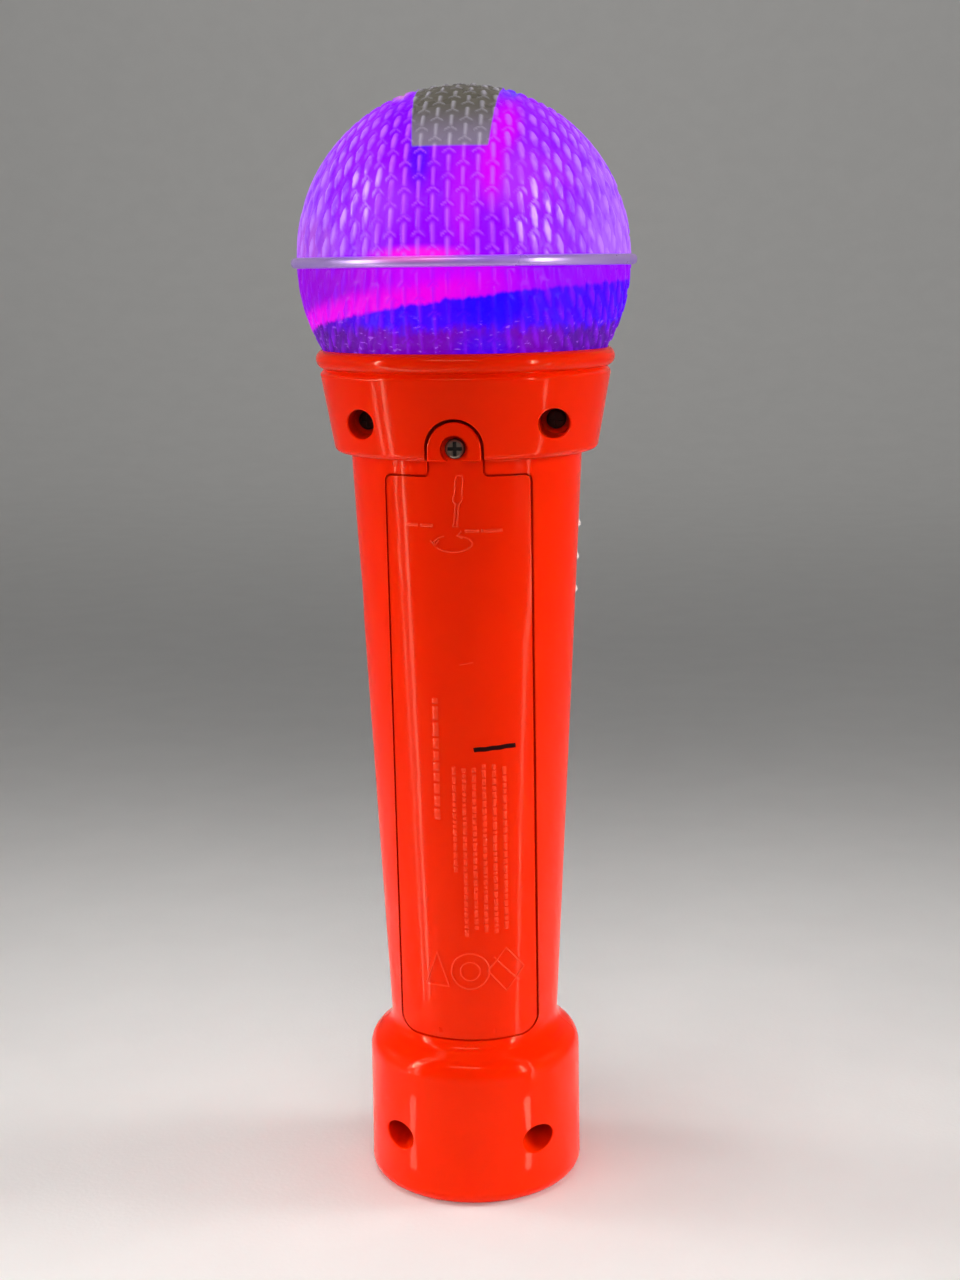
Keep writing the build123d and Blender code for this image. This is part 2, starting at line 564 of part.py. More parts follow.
for label, z, radius in BUTTONS:
    face_y = handle_radius(z) + PANEL_PROUD + 1.4
    flange_radius = radius + 1.4
    flange_y = math.sqrt((handle_radius(z - flange_radius) - WALL) ** 2 - flange_radius ** 2) - 0.25
    with BuildPart() as button:
        with BuildSketch(Plane.XZ.offset(-flange_y)):
            with Locations((0, z)):
                Circle(radius)
        extrude(amount=flange_y - face_y)
        fillet(button.faces().sort_by(Axis.Y)[-1].edges(), radius=0.8)
        with BuildSketch(Plane.XZ.offset(-flange_y)):
            with Locations((0, z)):
                Circle(flange_radius)
        extrude(amount=1.2)
        with BuildSketch(Plane.XZ.offset(1.2 - flange_y)):
            with Locations((0, z)):
                Circle(1.5)
        extrude(amount=flange_y - 1.2 - SWITCH_TOP_Y - BUTTON_TRAVEL - 0.1)
    save(button, label)

with BuildPart() as power_slider:
    with Locations((0, 24.2, SLIDER_Z)):
        Box(7, 1.9, 5.6, align=(Align.CENTER, Align.MIN, Align.CENTER))
    fillet(power_slider.faces().sort_by(Axis.Y)[-1].edges(), radius=0.6)
    with Locations(*[(0, 26.1, SLIDER_Z + step) for step in (-1.5, 0, 1.5)]):
        Cylinder(0.35, 9, rotation=(0, 90, 0), mode=Mode.SUBTRACT)
    with Locations((0, 24.3, SLIDER_Z)):
        Box(SLOT_WIDTH - 0.6, 5.7, NECK_HEIGHT, align=(Align.CENTER, Align.MAX, Align.CENTER))
    with Locations((0, 19.5, SLIDER_Z)):
        Box(6.6, 1.0, 9.4, align=(Align.CENTER, Align.MAX, Align.CENTER))
    with Locations((0, 18.6, SLIDER_Z)):
        Box(2.0, 18.6 - BOARD_FRONT_Y - 2.4, 2.0, align=(Align.CENTER, Align.MAX, Align.CENTER))
save(power_slider, "power_slider")

# ---- Pale studs along both sides ----------------------------------------------------------------
with BuildPart() as trim_studs:
    for z in STUD_HEIGHTS:
        with Locations((Vector(handle_radius(z) - 0.6, 0, z)).rotate(Axis.Z, STUD_ANGLE)):
            Sphere(1.1)
    with Locations((0, 0, STUD_HEIGHTS[0] - 5)):
        Cone(handle_radius(STUD_HEIGHTS[0] - 5), handle_radius(STUD_HEIGHTS[-1] + 5),
             STUD_HEIGHTS[-1] - STUD_HEIGHTS[0] + 10, align=(Align.CENTER, Align.CENTER, Align.MIN),
             mode=Mode.SUBTRACT)
    mirror(about=Plane.YZ)
save(trim_studs, "trim_studs")

# ---- Speaker in the foot, facing down through the sound holes -----------------------------------
with BuildPart() as speaker_frame:
    with BuildSketch(Plane.XZ):
        with BuildLine():
            Polyline(
                (15.2, SPEAKER_Z), (SPEAKER_RADIUS, SPEAKER_Z), (SPEAKER_RADIUS, SPEAKER_Z + 1.2),
                (16.0, SPEAKER_Z + 1.2), (10.0, SPEAKER_Z + 6.4), (0, SPEAKER_Z + 6.4),
                (0, SPEAKER_Z + 5.6), (9.5, SPEAKER_Z + 5.6), (15.2, SPEAKER_Z + 0.8), close=True)
        make_face()
    revolve(axis=Axis.Z)
save(speaker_frame, "speaker_frame")

with BuildPart() as speaker_cone:
    with BuildSketch(Plane.XZ):
        with BuildLine():
            Polyline(
                (14.9, SPEAKER_Z + 0.2), (14.9, SPEAKER_Z + 0.6), (6.0, SPEAKER_Z + 4.9),
                (0, SPEAKER_Z + 5.3), (0, SPEAKER_Z + 4.8), (5.8, SPEAKER_Z + 4.4), close=True)
        make_face()
    revolve(axis=Axis.Z)
save(speaker_cone, "speaker_cone")

with BuildPart() as speaker_magnet:
    with BuildSketch(Plane.XY.offset(SPEAKER_Z + 6.4)):
        Circle(9)
    extrude(amount=4.6)
    chamfer(speaker_magnet.faces().sort_by(Axis.Z)[-1].edges(), length=0.5)
save(speaker_magnet, "speaker_magnet")


def lead(points):
    """One insulated lead: straight runs joined by the largest arcs that they allow."""
    route = [Vector(*point) for point in points]
    radii = []
    for before, corner, after in zip(route, route[1:], route[2:]):
        turn = math.radians((corner - before).get_angle(after - corner))
        shorter = min((corner - before).length, (after - corner).length)
        radii.append(0.45 * shorter / math.tan(turn / 2))
    with BuildPart() as tube:
        with BuildLine() as path:
            FilletPolyline(*points, radius=radii)
        with BuildSketch(Plane(origin=path.line @ 0, z_dir=path.line % 0)):
            Circle(LEAD_RADIUS)
        sweep()
    length = sum(edge.length for edge in path.edges())
    print("lead: smallest arc", round(min(radii), 1), "mm, length", round(length, 1), "mm, volume ratio",
          round(tube.part.volume / (math.pi * LEAD_RADIUS ** 2 * length), 3))
    return tube.part


# ---- Internal leads, in pairs -------------------------------------------------------------------
LEAD_ROUTES = {
    "speaker_leads": [(3, 4.0, 63), (3, 3.4, 43), (5, 6.5, 24), (10.5, 7.5, 8.4)],
    "battery_leads": [(9.5, 0.8, 137), (9.5, 2.7, 128), (9.5, 2.7, 119), (9.5, 4.1, 110)],
    "led_leads": [(4, 4.1, 158), (4, 3.6, 168), (6, 1.5, 177), (6.2, 1.4, 185.4)],
}
for label, route in LEAD_ROUTES.items():
    with BuildPart() as leads:
        add(lead(route))
        mirror(about=Plane.YZ)
    save(leads, label)
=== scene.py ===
"""Toy microphone: looks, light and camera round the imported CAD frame. Metres throughout."""
import math

import bmesh
import bpy
import numpy as np
from mathutils import Matrix, Vector


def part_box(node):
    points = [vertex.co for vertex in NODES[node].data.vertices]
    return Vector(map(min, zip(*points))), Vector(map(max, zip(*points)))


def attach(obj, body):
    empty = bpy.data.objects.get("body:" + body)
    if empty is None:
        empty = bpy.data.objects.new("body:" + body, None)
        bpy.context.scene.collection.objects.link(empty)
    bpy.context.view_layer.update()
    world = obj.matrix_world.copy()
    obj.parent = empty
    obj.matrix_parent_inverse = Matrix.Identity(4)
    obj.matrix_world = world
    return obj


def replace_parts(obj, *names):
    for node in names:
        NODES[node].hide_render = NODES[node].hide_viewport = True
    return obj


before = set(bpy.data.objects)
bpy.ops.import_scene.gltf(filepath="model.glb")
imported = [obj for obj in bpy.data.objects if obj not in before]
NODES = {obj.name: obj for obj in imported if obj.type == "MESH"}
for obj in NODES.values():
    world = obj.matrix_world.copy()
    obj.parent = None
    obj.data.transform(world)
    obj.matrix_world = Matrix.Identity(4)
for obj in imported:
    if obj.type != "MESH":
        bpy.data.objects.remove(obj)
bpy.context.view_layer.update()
MM = 0.001

# ---- Camera: behind the toy and a little to its right, at the height of its head ----------------
CAMERA_DISTANCE = 0.4248
CAMERA_HEIGHT = 0.2123
CAMERA_AZIMUTH = 5.0
CAMERA_SIDE = 0.0024
CAMERA_PITCH = 11.255
CAMERA_ROLL = -0.754
CAMERA_LENS = 53.18


def make_camera():
    """Places the camera and makes it the scene's."""
    data = bpy.data.cameras.new("camera")
    camera = bpy.data.objects.new("camera", data)
    bpy.context.scene.collection.objects.link(camera)
    data.lens = CAMERA_LENS
    data.sensor_width = 36.0
    data.clip_start = 0.01
    turn = Matrix.Rotation(math.radians(CAMERA_AZIMUTH), 4, "Z")
    place = Matrix.Translation((CAMERA_SIDE, -CAMERA_DISTANCE, CAMERA_HEIGHT))
    tilt = Matrix.Rotation(math.radians(90.0 - CAMERA_PITCH), 4, "X")
    roll = Matrix.Rotation(math.radians(CAMERA_ROLL), 4, "Z")
    camera.matrix_world = turn @ place @ tilt @ roll
    bpy.context.scene.camera = camera


def area_light(name, position, target, size, power, colour, gleam=False, spread=180):
    """A rectangular light facing its target: a soft fill, or a gleam that only gloss mirrors."""
    data = bpy.data.lights.new(name, "AREA")
    data.shape = "RECTANGLE"
    data.size, data.size_y = size
    data.energy = power
    data.color = colour
    data.spread = math.radians(spread)
    light = bpy.data.objects.new(name, data)
    bpy.context.scene.collection.objects.link(light)
    light.visible_glossy = gleam
    light.visible_diffuse = not gleam
    light.visible_camera = False
    light.location = position
    light.rotation_euler = (Vector(target) - Vector(position)).to_track_quat("-Z", "Y").to_euler()


def make_studio():
    """Pale floor that sweeps up into a wall, soft light and a light grey surround."""
    flat, sweep, top = 1.3, 0.9, 3.0
    bowl = bmesh.new()
    rim = [(flat * t, 0.0) for t in (0.0, 0.3, 0.7, 1.0)]
    rim += [(flat + sweep * math.sin(a), sweep - sweep * math.cos(a))
            for a in np.linspace(0.1, math.pi / 2, 14)]
    rim += [(flat + sweep, top)]
    profile = [bowl.verts.new((r, 0, z)) for r, z in rim]
    edges = [bowl.edges.new(pair) for pair in zip(profile, profile[1:])]
    bmesh.ops.spin(bowl, geom=profile + edges, axis=(0, 0, 1), cent=(0, 0, 0), angle=2 * math.pi,
                   steps=64)
    bmesh.ops.remove_doubles(bowl, verts=bowl.verts, dist=1e-5)
    bmesh.ops.recalc_face_normals(bowl, faces=bowl.faces)
    mesh = bpy.data.meshes.new("floor")
    bowl.to_mesh(mesh)
    mesh.shade_smooth()
    floor = bpy.data.objects.new("floor", mesh)
    bpy.context.scene.collection.objects.link(floor)
    mesh.materials.append(plastic("floor_paint", (0.80, 0.80, 0.79), 0.5, grain=0.00005, mottle=0.01,
                                  specular=0.0))
    world = bpy.data.worlds.new("surround")
    bpy.context.scene.world = world
    world.use_nodes = True
    world.node_tree.nodes["Background"].inputs["Color"].default_value = (0.55, 0.56, 0.58, 1)
    world.node_tree.nodes["Background"].inputs["Strength"].default_value = 0.15
    warm, cool = (1.0, 0.94, 0.86), (1.0, 0.98, 0.96)
    area_light("left_fill", (-0.9, 0.10, 0.30), (0, 0, 0.11), (0.4, 0.3), 0.34, cool, spread=36)
    area_light("right_fill", (0.9, 0.10, 0.30), (0, 0, 0.09), (0.4, 0.3), 0.46, cool, spread=36)
    area_light("top_soft", (0.0, -0.25, 1.2), (0, -0.1, 0.0), (0.9, 0.9), 2.6, cool)
    area_light("floor_pool", (-0.1, -0.12, 0.9), (-0.02, -0.08, 0), (0.3, 0.3), 0.12, cool, spread=36)
    area_light("left_low", (-0.42, -0.30, 0.09), (0, 0, 0.02), (0.2, 0.05), 0.10, cool, spread=60)
    area_light("right_low", (0.45, -0.20, 0.09), (0, 0, 0.02), (0.2, 0.05), 0.055, cool, spread=60)
    area_light("front_soft", (0.1, -1.0, 0.50), (0, 0, 0.05), (0.7, 0.35), 0.55, cool, spread=60)
    area_light("backdrop_wash", (0.0, 0.9, 1.3), (0, 2.2, 1.0), (1.5, 0.5), 4.9, cool)
    for name, x, y, z, width, height, power in (
            ("left_gleam", -0.063, -0.050, 0.100, 0.0030, 0.17, 0.021),
            ("left_edge_gleam", -0.068, -0.041, 0.100, 0.0013, 0.17, 0.010),
            ("right_gleam", 0.0675, -0.0404, 0.095, 0.0030, 0.18, 0.014),
            ("left_foot_gleam", -0.023, -0.0255, 0.011, 0.0030, 0.018, 0.0009),
            ("right_foot_gleam", 0.0245, -0.026, 0.011, 0.0030, 0.018, 0.0016),
            ("left_window", -0.62, -0.30, 0.30, 0.022, 0.36, 2.0),
            ("right_window", 0.55, -0.36, 0.24, 0.022, 0.34, 1.6),
            ("high_window", -0.10, -0.70, 0.75, 0.50, 0.04, 1.8)):
        area_light(name, (x, y, z), (0, 0, z), (width, height), power, warm, gleam=True)
    bpy.context.scene.view_settings.view_transform = "Standard"


# ---- Node helpers -------------------------------------------------------------------------------
def start(name):
    """A new material: its node tree and its Principled shader."""
    material = bpy.data.materials.new(name)
    material.use_nodes = True
    return material, material.node_tree, material.node_tree.nodes["Principled BSDF"]


def node(tree, kind, **settings):
    """Adds a node and sets its plain properties."""
    made = tree.nodes.new(kind)
    for key, value in settings.items():
        setattr(made, key, value)
    return made


def feed(tree, value, socket):
    """Links a socket, or sets a plain number or colour."""
    if isinstance(value, bpy.types.NodeSocket):
        tree.links.new(value, socket)
    elif isinstance(value, tuple) and len(value) == 3 and socket.type == "RGBA":
        socket.default_value = (*value, 1)
    else:
        socket.default_value = value


def calc(tree, operation, first, second=0.0):
    """One Math node."""
    made = node(tree, "ShaderNodeMath", operation=operation)
    feed(tree, first, made.inputs[0])
    feed(tree, second, made.inputs[1])
    return made.outputs[0]


def step(tree, value, low, high, to_low=0.0, to_high=1.0):
    """A smooth step of value from low to high."""
    made = node(tree, "ShaderNodeMapRange", interpolation_type="SMOOTHSTEP")
    feed(tree, value, made.inputs["Value"])
    made.inputs["From Min"].default_value = low
    made.inputs["From Max"].default_value = high
    made.inputs["To Min"].default_value = to_low
    made.inputs["To Max"].default_value = to_high
    return made.outputs["Result"]


def step_line(tree, value, low, high):
    """A straight rise from 0 at low to 1 at high."""
    made = node(tree, "ShaderNodeMapRange")
    feed(tree, value, made.inputs["Value"])
    made.inputs["From Min"].default_value = low
    made.inputs["From Max"].default_value = high
    return made.outputs["Result"]


MIX_FIRST, MIX_SECOND, MIX_RESULT = 6, 7, 2  # the Mix node's colour sockets


def mix(tree, share, first, second):
    """One colour fading into another."""
    made = node(tree, "ShaderNodeMix", data_type="RGBA")
    feed(tree, share, made.inputs["Factor"])
    feed(tree, first, made.inputs[MIX_FIRST])
    feed(tree, second, made.inputs[MIX_SECOND])
    return made.outputs[MIX_RESULT]


def place(tree):
    """X, Y and Z in the toy's own frame, in metres, and the whole vector."""
    coordinates = node(tree, "ShaderNodeTexCoord").outputs["Object"]
    split = node(tree, "ShaderNodeSeparateXYZ")
    tree.links.new(coordinates, split.inputs[0])
    return split.outputs[0], split.outputs[1], split.outputs[2], coordinates


def noise(tree, coordinates, scale, detail=3.0):
    """A noise value."""
    made = node(tree, "ShaderNodeTexNoise")
    tree.links.new(coordinates, made.inputs["Vector"])
    made.inputs["Scale"].default_value = scale
    made.inputs["Detail"].default_value = detail
    made.inputs["Roughness"].default_value = 0.5
    return made.outputs["Fac"]


def bump(tree, shader, height, distance):
    """Bump from a height value, in metres at height 1."""
    made = node(tree, "ShaderNodeBump")
    made.inputs["Strength"].default_value = 1.0
    made.inputs["Distance"].default_value = distance
    tree.links.new(height, made.inputs["Height"])
    tree.links.new(made.outputs["Normal"], shader.inputs["Normal"])


def plastic(name, colour, roughness, coat=0.0, metallic=0.0, grain=0.00002, mottle=0.06, specular=0.5,
            tint=(1.0, 1.0, 1.0), through=0.0):
    """Moulded plastic or metal: slight colour mottling, uneven gloss and a fine moulded grain.

    The last value is how much light spreads through thin edges, which reddens the seams."""
    material, tree, shader = start(name)
    where = place(tree)[3]
    shade = step(tree, noise(tree, where, 38, 4.0), 0.3, 0.7)
    darker = tuple(c * (1 - mottle) for c in colour)
    lighter = tuple(min(1.0, c * (1 + mottle)) for c in colour)
    feed(tree, mix(tree, shade, darker, lighter), shader.inputs["Base Color"])
    feed(tree, step(tree, noise(tree, where, 75, 5.0), 0.25, 0.75, roughness * 0.85, roughness * 1.25),
         shader.inputs["Roughness"])
    shader.inputs["Coat Weight"].default_value = coat
    shader.inputs["Coat Roughness"].default_value = 0.08
    shader.inputs["Metallic"].default_value = metallic
    facing = node(tree, "ShaderNodeLayerWeight").outputs["Facing"]
    feed(tree, step(tree, facing, 0.5, 0.95, specular, 0.35 * specular),
         shader.inputs["Specular IOR Level"])
    shader.inputs["Specular Tint"].default_value = (*tint, 1)
    shader.inputs["Subsurface Weight"].default_value = through
    shader.inputs["Subsurface Radius"].default_value = (1.0, 0.12, 0.05)
    shader.inputs["Subsurface Scale"].default_value = 1.6 * MM
    bump(tree, shader, noise(tree, where, 900, 2.0), grain)
    return material


# ---- Head: lit textured plastic -----------------------------------------------------------------
COLUMN = 3.04 * MM  # across, from one column of strokes to the next
PITCH = 6.0 * MM  # up, from one stroke to the next in a column
STEM = 4.9 * MM  # length of a stroke on the dome
BOWL_STEM = 5.6 * MM
AROUND = 580  # points in each row round the head


def relief_height(angle, latitude, radius, stem):
    """Height from 0 to 1 of the staggered strokes, each with two slanting legs at its foot."""
    folded = np.abs(((angle + math.pi / 2) % (2 * math.pi)) - math.pi) - math.pi / 2
    turned = math.pi / 2 - np.abs(folded)
    across = radius * turned * np.cos(latitude)
    along = radius * latitude
    column = np.round(across / COLUMN)
    outward = across - column * COLUMN
    aside = np.abs(outward)
    level = (along / PITCH + 0.5 * (column % 2) + 0.13) % 1.0 * PITCH
    side = np.clip((np.abs(np.sin(turned)) - 0.22) / 0.45, 0, 1)
    stem = stem * (1 - 0.42 * np.sin(max(latitude, 0.0)) ** 4)
    stem = stem * (1 + 0.12 * side)
    taper = 1 - 0.9 * side * np.abs(2 * level / stem - 1)
    half = (0.22 + 0.14 * level / stem + 0.62 * side) * MM * taper
    leaning = np.abs(outward + 0.30 * side * (level - stem / 2))
    inside = np.clip((half + 0.22 * MM - leaning) / (0.44 * MM), 0, 1)
    ends = np.clip(level / (0.7 * MM), 0, 1) * np.clip((stem - level) / (0.9 * MM), 0, 1)
    strokes = inside * ends
    below = np.where(level > PITCH / 2, PITCH - level, -level)
    leg = np.abs(below - (0.75 + 0.5 * side) * aside)
    thick = np.where(outward > 0, 0.24 + 0.5 * side, 0.24) * MM
    legs = np.clip((thick + 0.12 * MM - leg) / (0.24 * MM), 0, 1) * (below > -0.1 * MM)
    legs *= np.clip((1.5 * MM - aside) / (0.3 * MM), 0, 1) * (1 - 0.8 * side)
    return np.maximum(strokes, 0.7 * legs)


def lathe(name, rows, start_cap=None, end_cap=None, heights=None):
    """A surface from rows of points round the Z axis, capped by two points or closed on itself."""
    count = len(rows[0])
    points = np.concatenate(rows)
    faces = []
    ring = np.arange(count)
    pairs = len(rows) - 1 if start_cap is not None else len(rows)
    for index in range(pairs):
        low = index * count + ring
        high = (index + 1) % len(rows) * count + ring
        faces.append(np.stack([low, np.roll(low, -1), np.roll(high, -1), high], 1))
    quads = np.concatenate(faces).tolist()
    points = points.tolist()
    if start_cap is not None:
        points += [start_cap, end_cap]
        last = (len(rows) - 1) * count
        quads += [[len(points) - 2, (i + 1) % count, i] for i in range(count)]
        quads += [[len(points) - 1, last + i, last + (i + 1) % count] for i in range(count)]
    mesh = bpy.data.meshes.new(name)
    mesh.from_pydata(points, [], quads)
    mesh.update()
    if heights is not None:
        attribute = mesh.attributes.new("relief", "FLOAT", "POINT")
        values = np.zeros(len(points), np.float32)
        values[:len(heights)] = heights
        attribute.data.foreach_set("value", values)
    mesh.shade_smooth()
    made = bpy.data.objects.new(name, mesh)
    bpy.context.scene.collection.objects.link(made)
    return made


def head_rows(centre, low, high, steps, stem):
    """Rows of a sphere band with the moulded strokes standing on it, and their heights."""
    angles = np.arange(AROUND) / AROUND * 2 * math.pi
    rows, heights = [], []
    for latitude in np.linspace(low, high, steps):
        raised = relief_height(angles, latitude, SPHERE, stem)
        reach = SPHERE - RELIEF * (1 - raised)
        rows.append(np.stack([reach * math.cos(latitude) * np.cos(angles),
                              reach * math.cos(latitude) * np.sin(angles),
                              centre + reach * math.sin(latitude)], 1))
        heights.append(raised)
    return rows, heights


def ring_row(radius, z):
    """One plain row of points."""
    angles = np.arange(AROUND) / AROUND * 2 * math.pi
    return np.stack([radius * np.cos(angles), radius * np.sin(angles), np.full(AROUND, z)], 1)


SPHERE = 36.7 * MM
DOME_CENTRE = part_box("upper_dome")[1].z - SPHERE
BOWL_CENTRE = 212.6 * MM
RING_LOW, RING_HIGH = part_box("equator_ring")[0].z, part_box("equator_ring")[1].z
INSIDE = 34.5 * MM
RELIEF = 0.42 * MM
SHELL_GAP = 0.05 * MM  # from the ring to each half of the head
NECK_IN, NECK_OUT = 24.6 * MM, 26.8 * MM
NECK_FOOT = 184.0 * MM


def make_dome():
    """The clear upper dome, relief outside and smooth inside."""
    low = math.asin((RING_HIGH + SHELL_GAP - DOME_CENTRE) / SPHERE)
    rows, heights = head_rows(DOME_CENTRE, low, math.radians(89.4), 146, STEM)
    inner = [ring_row(INSIDE * math.cos(a), DOME_CENTRE + INSIDE * math.sin(a))
             for a in np.linspace(low, math.radians(86), 14)]
    rows = rows[::-1] + inner
    heights = np.concatenate(heights[::-1] + [np.zeros(AROUND)] * len(inner))
    top, under = [0, 0, DOME_CENTRE + SPHERE - RELIEF], [0, 0, DOME_CENTRE + INSIDE]
    return lathe("dome_relief", rows, top, under, heights)


def make_bowl():
    """The clear lower bowl, with its neck inside the collar."""
    low = math.asin((188.0 * MM - BOWL_CENTRE) / SPHERE)
    high = math.asin((RING_LOW - SHELL_GAP - BOWL_CENTRE) / SPHERE)
    rows, heights = head_rows(BOWL_CENTRE, low, high, 64, BOWL_STEM)
    inner = [ring_row(INSIDE * math.cos(a), BOWL_CENTRE + INSIDE * math.sin(a))
             for a in np.linspace(high, math.asin((190.0 * MM - BOWL_CENTRE) / INSIDE), 10)]
    neck = [ring_row(NECK_IN, 188.4 * MM), ring_row(NECK_IN, NECK_FOOT),
            ring_row(NECK_OUT, NECK_FOOT), ring_row(NECK_OUT, 187.6 * MM)]
    heights = np.concatenate(heights + [np.zeros(AROUND)] * (len(inner) + len(neck)))
    return lathe("bowl_relief", rows + inner + neck, heights=heights)


def blob(tree, x, z, centre_x, centre_z, reach_x, reach_z):
    """A soft round mask about a point of the x, z plane, in millimetres."""
    dx = calc(tree, "MULTIPLY", calc(tree, "SUBTRACT", x, centre_x * MM), 1000 / reach_x)
    dz = calc(tree, "MULTIPLY", calc(tree, "SUBTRACT", z, centre_z * MM), 1000 / reach_z)
    far = calc(tree, "SQRT", calc(tree, "ADD", calc(tree, "MULTIPLY", dx, dx),
                                  calc(tree, "MULTIPLY", dz, dz)))
    return step(tree, far, 1.0, 0.25)


def finish_head(tree, shader, where, glow, strength):
    """Shared surface of the clear head: glossy, faintly rippled and lit from inside."""
    feed(tree, step(tree, noise(tree, where, 240, 4.0), 0.3, 0.7, 0.24, 0.40), shader.inputs["Roughness"])
    shader.inputs["Specular IOR Level"].default_value = 0.08
    feed(tree, glow, shader.inputs["Emission Color"])
    feed(tree, strength, shader.inputs["Emission Strength"])
    bump(tree, shader, noise(tree, where, 420, 3.0), 0.00005)


def streaks(tree, x, y, z, scale, squash):
    """Noise drawn out along Z."""
    join = node(tree, "ShaderNodeCombineXYZ")
    feed(tree, x, join.inputs[0])
    feed(tree, y, join.inputs[1])
    feed(tree, calc(tree, "MULTIPLY", z, squash), join.inputs[2])
    return noise(tree, join.outputs[0], scale, 3.0)


DOME_PATCHES = (  # centre across and up, reach across and up, in millimetres, and the light's colour
    (15, 229, 13, 9, (0.44, 0.025, 1.0)),
    (-16, 225, 12, 9, (0.36, 0.025, 1.0)),
    (-11, 242, 6, 9, (0.24, 0.0, 1.0)),
    (-6.2, 234, 3.6, 9, (0.12, 0.0, 1.0)),
    (3.0, 226, 4.5, 16, (0.48, 0.0, 1.0)),
    (8.6, 232, 4.0, 11, (0.68, 0.0, 1.0)),
    (11.0, 240, 4.5, 8, (0.66, 0.0, 1.0)),
    (-6, 214.2, 14, 2.6, (1.0, 0.01, 0.82)),
    (-31, 217, 10, 8, (0.42, 0.09, 0.72)),
    (11.5, 249, 3.4, 4, (0.13, 0.04, 1.0)),
    (-12.6, 248.5, 3.0, 3, (0.62, 0.22, 0.62)))


def dome_material():
    """Violet glow, saturated in the middle and pale at the sides as a painted sheen, with painted
    highlights on the strokes and an unlit painted shadow at the crown.
    """
    material, tree, shader = start("lit_dome")
    x, y, z, where = place(tree)
    relief = node(tree, "ShaderNodeAttribute", attribute_name="relief").outputs["Fac"]
    aside = calc(tree, "ABSOLUTE", x)
    streak = streaks(tree, x, y, z, 380, 0.30)
    wander = calc(tree, "MULTIPLY", calc(tree, "SUBTRACT", streak, 0.5), 0.010)
    edge = calc(tree, "ADD", aside, wander)
    low = step(tree, z, 0.246, 0.232)
    # The LEDs' glow, paler towards the sides; that paleness is a painted sheen of the grazing view.
    glow = mix(tree, step(tree, edge, 0.010, 0.017), (0.30, 0.0, 1.0), (0.33, 0.012, 1.0))
    glow = mix(tree, step(tree, edge, 0.022, 0.034), glow, (0.42, 0.13, 1.0))
    for centre_x, centre_z, reach_x, reach_z, colour in DOME_PATCHES:
        glow = mix(tree, blob(tree, x, z, centre_x, centre_z, reach_x, reach_z), glow, colour)
    # Stroke colour: their glow, paler at the sides, which is a painted sheen of the grazing view.
    pale = mix(tree, step(tree, edge, 0.009, 0.023), (0.60, 0.11, 1.0), (0.55, 0.22, 1.0))
    # Painted highlights: two bright spots on the side strokes, where window light would mirror.
    painted_highlight = calc(tree, "ADD", blob(tree, x, z, -18, 226, 9, 9), blob(tree, x, z, 17.5, 223, 9, 10))
    pale = mix(tree, calc(tree, "MULTIPLY", painted_highlight, step(tree, streak, 0.42, 0.60)), pale,
               (0.88, 0.52, 1.0))
    lift = calc(tree, "MULTIPLY", relief, step(tree, streak, 0.25, 0.6, 0.45, 0.95))
    glow = mix(tree, calc(tree, "MULTIPLY", lift, step(tree, z, 0.247, 0.240, 0.35, 1.0)), glow, pale)
    shade = calc(tree, "MULTIPLY", step(tree, streak, 0.55, 0.35), step(tree, edge, 0.012, 0.020))
    glow = mix(tree, calc(tree, "MULTIPLY", calc(tree, "MULTIPLY", shade, low), 0.45), glow,
               (0.22, 0.0, 0.85))
    # Painted shadow of the light shield on the crown: no glow there.
    tapered = calc(tree, "SUBTRACT", aside, calc(tree, "MULTIPLY", z, 0.10))
    shadow_patch = calc(tree, "MULTIPLY", step(tree, tapered, -0.0156, -0.0161), step(tree, z, 0.2357, 0.2364))
    shadow_patch = calc(tree, "MULTIPLY", shadow_patch, step(tree, y, 0.008, 0.006))
    # Inside the painted shadow the shell is grey, darker towards the top, and its strokes are painted
    # lighter as a painted highlight of the room's light.
    clear = mix(tree, step(tree, z, 0.2475, 0.2365), (0.15, 0.138, 0.11), (0.20, 0.18, 0.215))
    body = mix(tree, shadow_patch, (0.02, 0.0, 0.08), clear)
    feed(tree, mix(tree, calc(tree, "MULTIPLY", relief, shadow_patch), body, (0.42, 0.40, 0.46)),
         shader.inputs["Base Color"])
    # A faint painted glow reaches into the lower edge of the painted shadow.
    tint = step(tree, z, 0.2445, 0.2365, 0.0, 0.22)
    glow = mix(tree, shadow_patch, glow, (0.32, 0.20, 0.50))
    strength = calc(tree, "ADD", calc(tree, "SUBTRACT", 1.0, shadow_patch), calc(tree, "MULTIPLY", shadow_patch, tint))
    finish_head(tree, shader, where, glow, strength)
    return material


